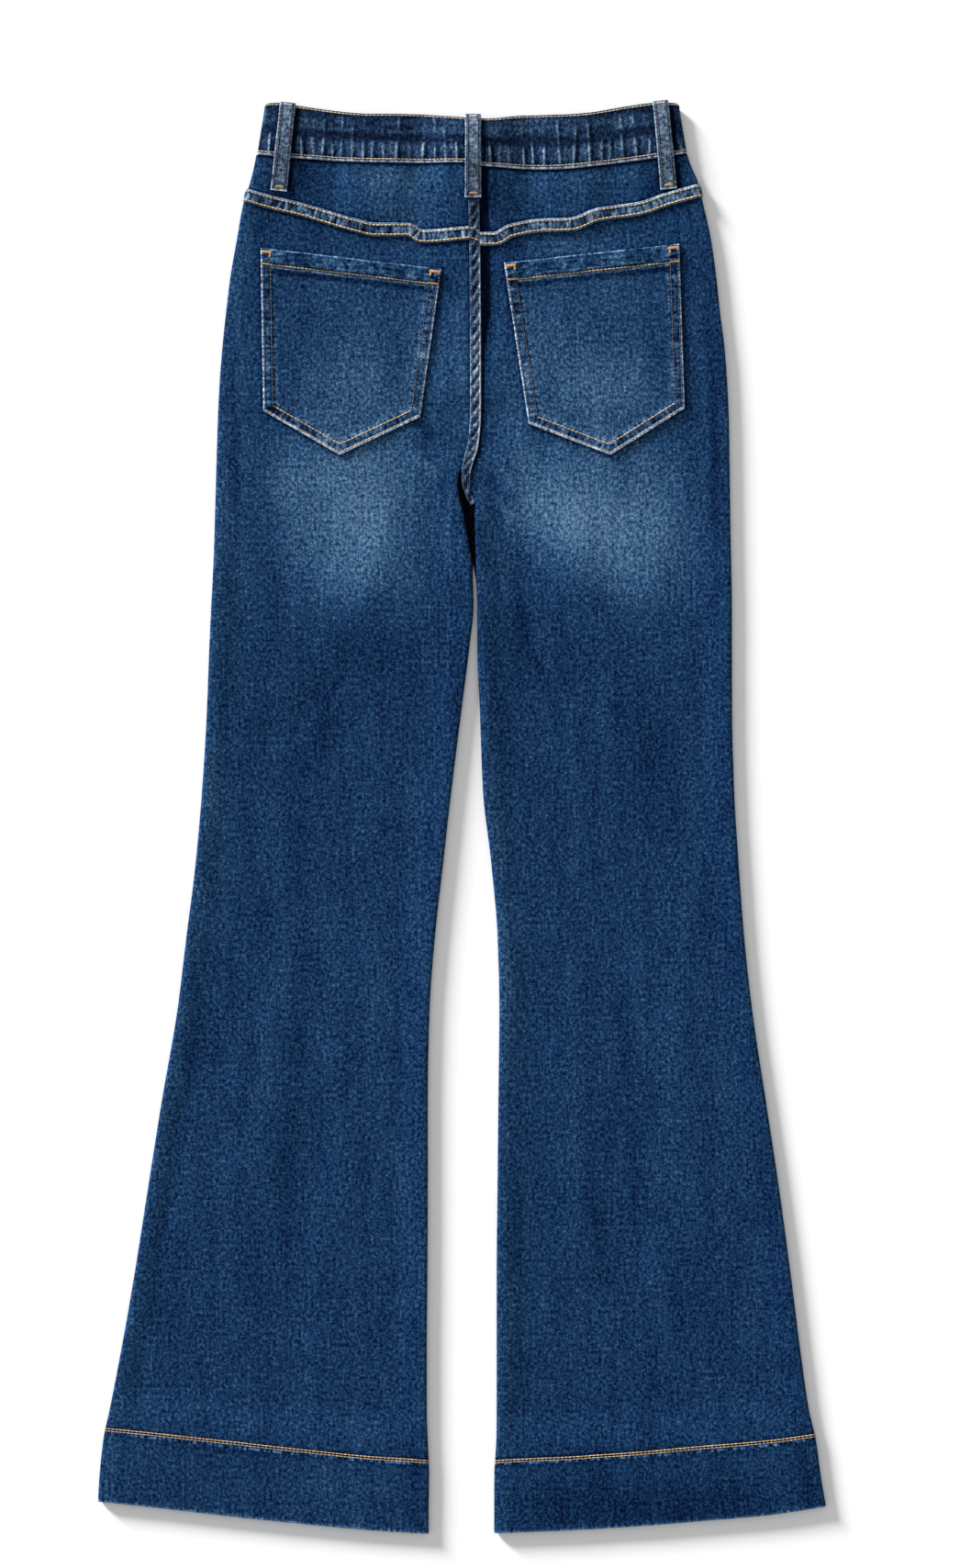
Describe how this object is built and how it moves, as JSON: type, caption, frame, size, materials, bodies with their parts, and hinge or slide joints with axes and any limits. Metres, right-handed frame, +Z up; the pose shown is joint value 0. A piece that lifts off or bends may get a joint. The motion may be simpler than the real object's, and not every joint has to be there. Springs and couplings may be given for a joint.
{
  "type": "flared jeans",
  "caption": "Denim jeans with flared legs and deep hems, laid flat with the back side up, with yokes, patch pockets and belt loops.",
  "frame": {"origin": "on the surface that the garment lies on, below the centre of its bounding box", "axes": "+Y towards the waist, +Z up out of the back side, +X to the wearer's right"},
  "size_m": [0.5912, 1.1636, 0.0139],
  "materials": {
    "denim": "washed indigo stretch twill with fine mottled grain and faded seat",
    "waistband_denim": "darker double indigo twill with light pucker marks",
    "pocket_denim": "washed indigo twill, faded towards the foot, with worn light edges",
    "worn_denim": "felled and folded indigo twill, abraded along its edges",
    "button_metal": "dull antique brass shank button"
  },
  "bodies": {
    "root": {"front_left": "denim", "front_right": "denim", "back_left": "denim", "back_right": "denim", "yoke_left": "denim", "yoke_right": "denim", "yoke_seam_left": "denim", "yoke_seam_right": "denim", "waistband": "waistband_denim", "back_pocket_left": "pocket_denim", "back_pocket_right": "pocket_denim", "seat_seam": "worn_denim", "belt_loop_back_left": "worn_denim", "belt_loop_back_centre": "worn_denim", "belt_loop_back_right": "worn_denim", "belt_loop_front_left": "worn_denim", "belt_loop_front_right": "worn_denim", "button": "button_metal"}
  },
  "joints": []
}
